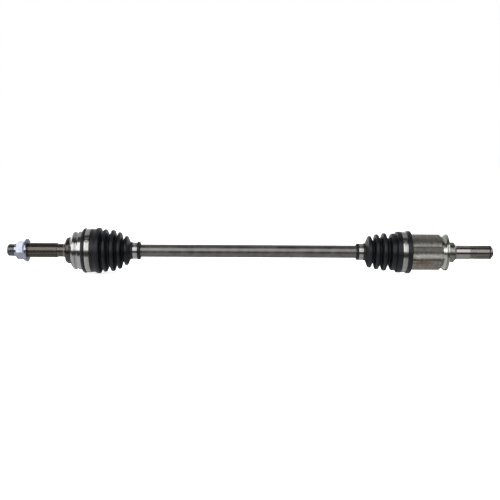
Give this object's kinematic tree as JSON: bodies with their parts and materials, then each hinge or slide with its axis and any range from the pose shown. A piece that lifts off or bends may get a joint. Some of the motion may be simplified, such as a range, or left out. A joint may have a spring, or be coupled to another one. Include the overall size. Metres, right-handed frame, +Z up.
{
  "type": "cv axle",
  "caption": "Front drive axle: a bar with a fixed ball joint and splined stub at the wheel end, a plunging tripod joint at the gearbox end, and rubber boots.",
  "frame": {"origin": "On the axle's axis, midway between the thread tip and the gearbox spline tip.", "axes": "+X runs along the axle from the wheel end to the gearbox end, +Z is up, and one valley of the lobed gearbox-end housing faces -Y."},
  "size_m": [0.875, 0.083, 0.083],
  "materials": {
    "turned_steel": "turned and ground forged steel, bright",
    "forged_steel": "forged steel, shot blasted, with machined bands",
    "bar_steel": "drawn and induction-hardened bar, dull grey",
    "bearing_steel": "hardened and ground bearing steel",
    "spring_steel": "blackened spring steel",
    "stainless_band": "rolled stainless strip, bright",
    "zinc_nut": "bright zinc plate, slightly blue",
    "zinc_deflector": "pressed sheet with dull zinc plate, slightly green",
    "boot_rubber": "moulded black rubber, soft sheen",
    "insert_plastic": "moulded black plastic"
  },
  "bodies": {
    "bar": {"axle_bar": "bar_steel", "outer_inner_race": "bearing_steel", "race_snap_ring": "spring_steel", "outer_boot": "boot_rubber", "outer_boot_small_clamp": "stainless_band", "tripod_spider": "bearing_steel", "spider_back_ring": "spring_steel", "spider_front_ring": "spring_steel", "inner_boot_small_clamp": "stainless_band", "needle_washer_1": "spring_steel", "needle_washer_2": "spring_steel", "needle_washer_3": "spring_steel", "roller_clip_1": "spring_steel", "roller_clip_2": "spring_steel", "roller_clip_3": "spring_steel"},
    "outer_joint": {"outer_joint_housing": "turned_steel", "outer_boot_large_clamp": "stainless_band"},
    "cage": {"ball_cage": "bearing_steel", "joint_ball_1": "bearing_steel", "joint_ball_2": "bearing_steel", "joint_ball_3": "bearing_steel", "joint_ball_4": "bearing_steel", "joint_ball_5": "bearing_steel", "joint_ball_6": "bearing_steel"},
    "nut": {"axle_nut": "zinc_nut"},
    "inner_boot": {"inner_boot": "boot_rubber"},
    "inner_joint": {"inner_joint_housing": "forged_steel", "boot_insert": "insert_plastic", "inner_boot_large_clamp": "stainless_band", "dust_deflector": "zinc_deflector", "gearbox_clip": "spring_steel"},
    "roller_1": {"tripod_roller_1": "bearing_steel"},
    "needles_1": {"needle_rollers_1": "bearing_steel"},
    "roller_2": {"tripod_roller_2": "bearing_steel"},
    "needles_2": {"needle_rollers_2": "bearing_steel"},
    "roller_3": {"tripod_roller_3": "bearing_steel"},
    "needles_3": {"needle_rollers_3": "bearing_steel"}
  },
  "joints": [
    {"name": "outer_joint_bend", "type": "hinge", "parent": "bar", "child": "outer_joint", "pos_m": [-0.296, 0, 0], "axis": [0, 0, 1], "range_deg": [-45, 45], "deforming": ["outer_boot"]},
    {"name": "ball_cage_turn", "type": "hinge", "parent": "bar", "child": "cage", "pos_m": [-0.296, 0, 0], "axis": [0, 0, 1], "range_deg": [-22.6, 22.6]},
    {"name": "axle_nut_removal", "type": "slide", "parent": "outer_joint", "child": "nut", "axis": [-1, 0, 0], "range_m": [0, 0.04]},
    {"name": "inner_joint_bend", "type": "hinge", "parent": "bar", "child": "inner_boot", "pos_m": [0.2924, 0, 0], "axis": [0, 0, 1], "range_deg": [-13, 13], "deforming": ["inner_boot"]},
    {"name": "inner_joint_plunge", "type": "slide", "parent": "inner_boot", "child": "inner_joint", "axis": [1, 0, 0], "range_m": [-0.015, 0.012], "deforming": ["inner_boot"]},
    {"name": "roller_1_spin", "type": "hinge", "parent": "bar", "child": "roller_1", "pos_m": [0.2924, 0, 0], "axis": [0, 1, 0], "range_deg": [-60, 48]},
    {"name": "needles_1_orbit", "type": "hinge", "parent": "bar", "child": "needles_1", "pos_m": [0.2924, 0, 0], "axis": [0, 1, 0], "range_deg": [-35, 28]},
    {"name": "roller_2_spin", "type": "hinge", "parent": "bar", "child": "roller_2", "pos_m": [0.2924, 0, 0], "axis": [0, -0.5, 0.866], "range_deg": [-60, 48]},
    {"name": "needles_2_orbit", "type": "hinge", "parent": "bar", "child": "needles_2", "pos_m": [0.2924, 0, 0], "axis": [0, -0.5, 0.866], "range_deg": [-35, 28]},
    {"name": "roller_3_spin", "type": "hinge", "parent": "bar", "child": "roller_3", "pos_m": [0.2924, 0, 0], "axis": [0, -0.5, -0.866], "range_deg": [-60, 48]},
    {"name": "needles_3_orbit", "type": "hinge", "parent": "bar", "child": "needles_3", "pos_m": [0.2924, 0, 0], "axis": [0, -0.5, -0.866], "range_deg": [-35, 28]}
  ],
  "couplings": [
    {"joint": "ball_cage_turn", "follows": "outer_joint_bend", "ratio": 0.5},
    {"joint": "roller_1_spin", "follows": "inner_joint_plunge", "rad_per_m": 68.966},
    {"joint": "needles_1_orbit", "follows": "inner_joint_plunge", "rad_per_m": 39.341},
    {"joint": "roller_2_spin", "follows": "inner_joint_plunge", "rad_per_m": 68.966},
    {"joint": "needles_2_orbit", "follows": "inner_joint_plunge", "rad_per_m": 39.341},
    {"joint": "roller_3_spin", "follows": "inner_joint_plunge", "rad_per_m": 68.966},
    {"joint": "needles_3_orbit", "follows": "inner_joint_plunge", "rad_per_m": 39.341}
  ]
}
